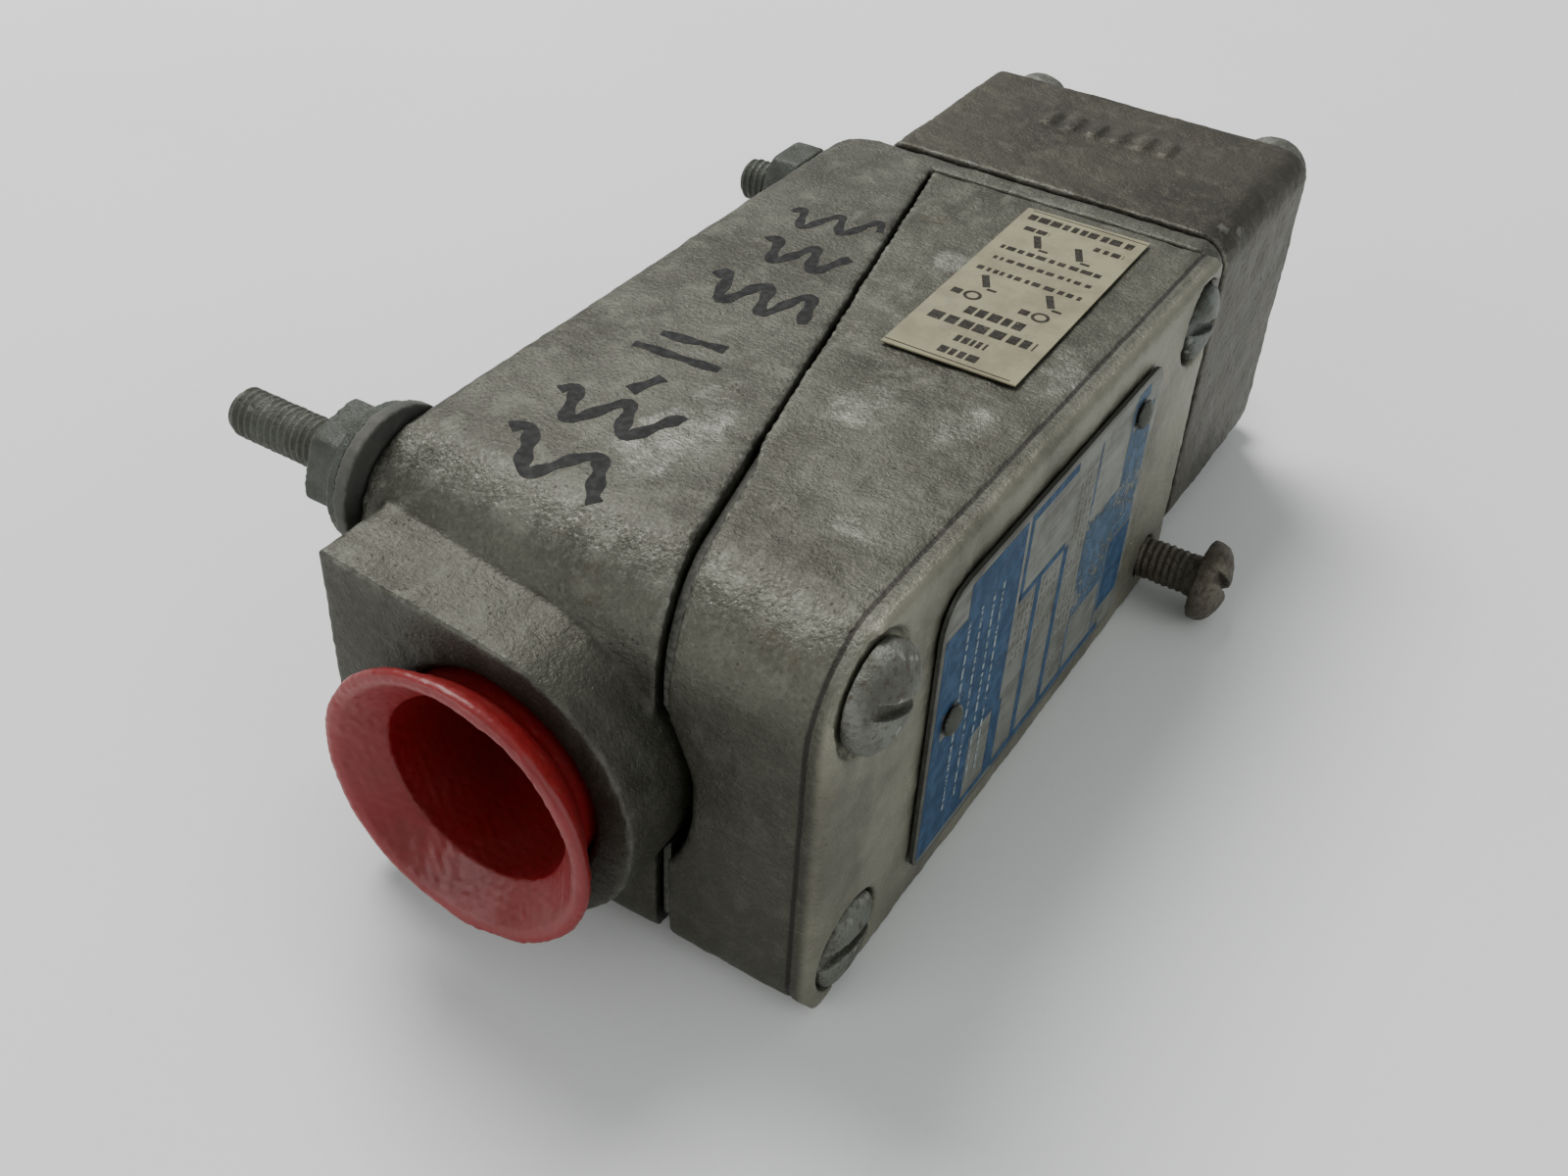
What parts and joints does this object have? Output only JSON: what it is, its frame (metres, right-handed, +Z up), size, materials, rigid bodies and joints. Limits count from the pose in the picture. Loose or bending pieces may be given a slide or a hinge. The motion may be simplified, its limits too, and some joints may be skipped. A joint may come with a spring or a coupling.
{
  "type": "heavy duty limit switch",
  "caption": "Cast limit switch with a diagonally split case, square plunger head, through bolts, nameplate and a cup plug in its conduit entry.",
  "frame": {"origin": "middle of the flat side that the switch lies on, halfway along the case and halfway through its depth", "axes": "+X from the back face to the cover, +Y from the conduit end to the plunger end, +Z up, out of the side it lies on"},
  "size_m": [0.076, 0.1365, 0.041],
  "materials": {
    "case_metal": "dull cast metal, weathered",
    "cover_metal": "dull cast metal, weathered",
    "head_metal": "brown weathered cast metal",
    "gasket_rubber": "matte black",
    "red_plastic": "dusty translucent red",
    "blue_plate": "printed blue over aluminium, worn",
    "label_paper": "aged cream paper",
    "block_phenolic": "moulded dark brown",
    "contact_silver": "silver contact",
    "brass": "plain brass",
    "bright_steel": "ground steel",
    "zinc_steel": "dull zinc plate"
  },
  "bodies": {
    "case": {"base_housing": "case_metal", "block_screw_1": "zinc_steel", "block_screw_2": "zinc_steel", "carrier_spring": "bright_steel", "circuit_label": "label_paper", "cover_gasket": "gasket_rubber", "cover_screw_far_top": "zinc_steel", "cover_screw_near_low": "zinc_steel", "far_nut": "zinc_steel", "flat_washer": "zinc_steel", "front_cover": "cover_metal", "ground_screw": "brass", "guide_bushing": "brass", "head_block": "head_metal", "head_gasket": "gasket_rubber", "head_screw_back_low": "zinc_steel", "head_screw_back_top": "zinc_steel", "head_screw_front_low": "zinc_steel", "head_screw_front_top": "zinc_steel", "mounting_bolt": "zinc_steel", "mounting_nut": "zinc_steel", "nameplate": "blue_plate", "plunger_spring": "bright_steel", "rivet_far": "bright_steel", "rivet_near": "bright_steel", "rubber_washer": "gasket_rubber", "switch_block": "block_phenolic", "switch_lid": "block_phenolic", "terminal_low_1": "brass", "terminal_low_2": "brass", "terminal_low_3": "brass", "terminal_low_4": "brass", "terminal_screw_low_1": "brass", "terminal_screw_low_2": "brass", "terminal_screw_low_3": "brass", "terminal_screw_low_4": "brass", "terminal_screw_top_1": "brass", "terminal_screw_top_2": "brass", "terminal_screw_top_3": "brass", "terminal_screw_top_4": "brass", "terminal_top_1": "brass", "terminal_top_2": "brass", "terminal_top_3": "brass", "terminal_top_4": "brass", "wiper_seal": "gasket_rubber"},
    "plunger": {"plunger": "bright_steel", "push_pin": "bright_steel"},
    "carrier": {"contact_carrier": "block_phenolic", "contact_bar_1": "contact_silver", "contact_bar_2": "contact_silver"},
    "loose_bolt": {"loose_bolt": "zinc_steel"},
    "conduit_plug": {"conduit_plug": "red_plastic"}
  },
  "joints": [
    {"name": "plunger_slide", "type": "slide", "parent": "case", "child": "plunger", "axis": [0, -1, 0], "range_m": [0, 0.0044], "stiffness_N_per_m": 800, "deforming": ["plunger_spring"]},
    {"name": "carrier_slide", "type": "slide", "parent": "case", "child": "carrier", "axis": [0, -1, 0], "range_m": [0, 0.0044], "stiffness_N_per_m": 300, "deforming": ["carrier_spring"]},
    {"name": "loose_bolt_slide", "type": "slide", "parent": "case", "child": "loose_bolt", "axis": [1, 0, 0], "range_m": [-0.0064, 0.015]},
    {"name": "plug_pull", "type": "slide", "parent": "case", "child": "conduit_plug", "axis": [0, -1, 0], "range_m": [0, 0.02]}
  ],
  "couplings": [
    {"joint": "carrier_slide", "follows": "plunger_slide", "ratio": 1}
  ]
}
